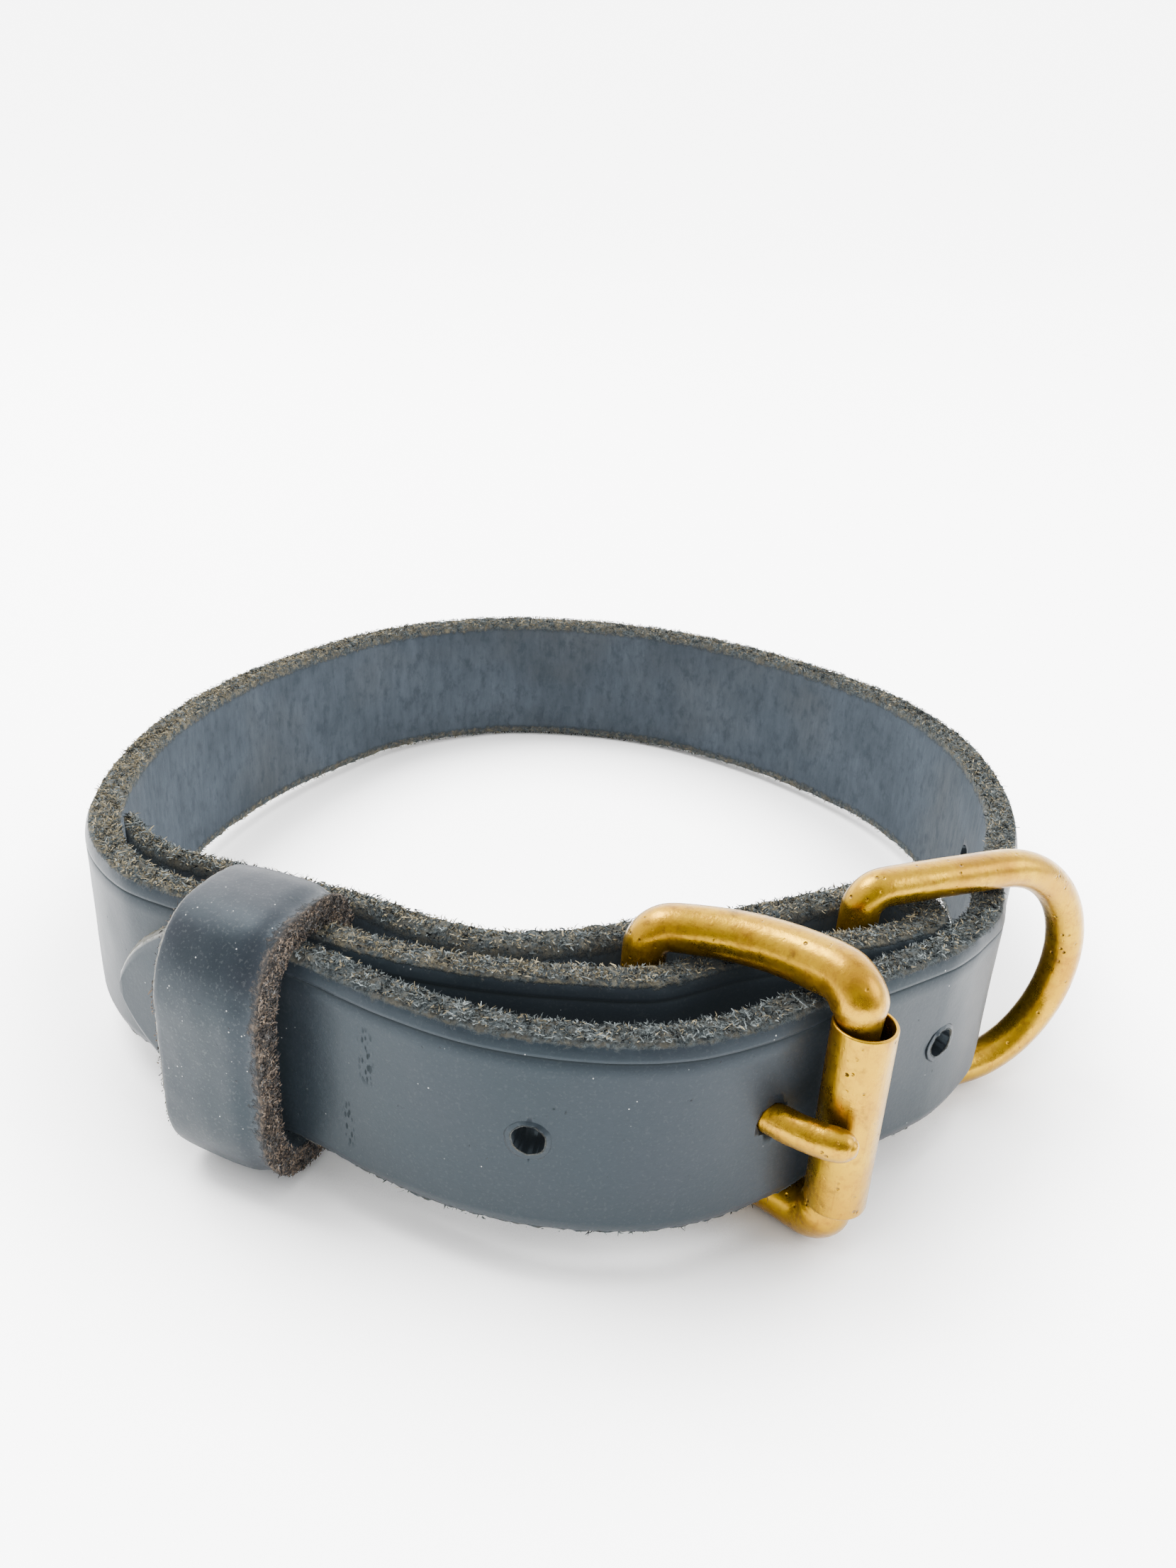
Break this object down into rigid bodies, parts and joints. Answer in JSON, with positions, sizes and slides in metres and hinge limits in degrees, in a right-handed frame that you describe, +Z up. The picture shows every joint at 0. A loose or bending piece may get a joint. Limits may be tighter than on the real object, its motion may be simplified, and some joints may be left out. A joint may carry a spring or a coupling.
{
  "type": "pet collar",
  "caption": "Buckled leather pet collar with a roller buckle, a leash ring and a keeper, standing on its edge.",
  "frame": {"origin": "middle of the bounding box on the floor", "axes": "+Z up, +X to the collar's right seen from its buckle, +Y from the buckle to the back of the loop"},
  "size_m": [0.14, 0.1518, 0.0389],
  "materials": {
    "strap": "matte waxed, with raw fibrous edges",
    "keeper": "matte waxed, with one raw edge",
    "buckle_frame": "worn satin, pitted and tarnished",
    "prong": "worn satin, with dark grime",
    "roller": "scratched satin",
    "d_ring": "worn satin, tarnished",
    "rivet_left": "plain satin",
    "rivet_right": "plain satin"
  },
  "bodies": {
    "collar": {"strap": "strap", "keeper": "keeper", "buckle_frame": "buckle_frame", "prong": "prong", "rivet_left": "rivet_left", "rivet_right": "rivet_right"},
    "roller": {"roller": "roller"},
    "d_ring": {"d_ring": "d_ring"}
  },
  "joints": [
    {"name": "roller_spin", "type": "hinge", "parent": "collar", "child": "roller", "pos_m": [0.03179, -0.06794, 0.01961], "axis": [0, 0.0465, 0.9989], "continuous": true},
    {"name": "ring_swing", "type": "hinge", "parent": "collar", "child": "d_ring", "pos_m": [0.03526, -0.04563, 0.01887], "axis": [0, 0.0465, 0.9989], "range_deg": [-85, 1]}
  ]
}
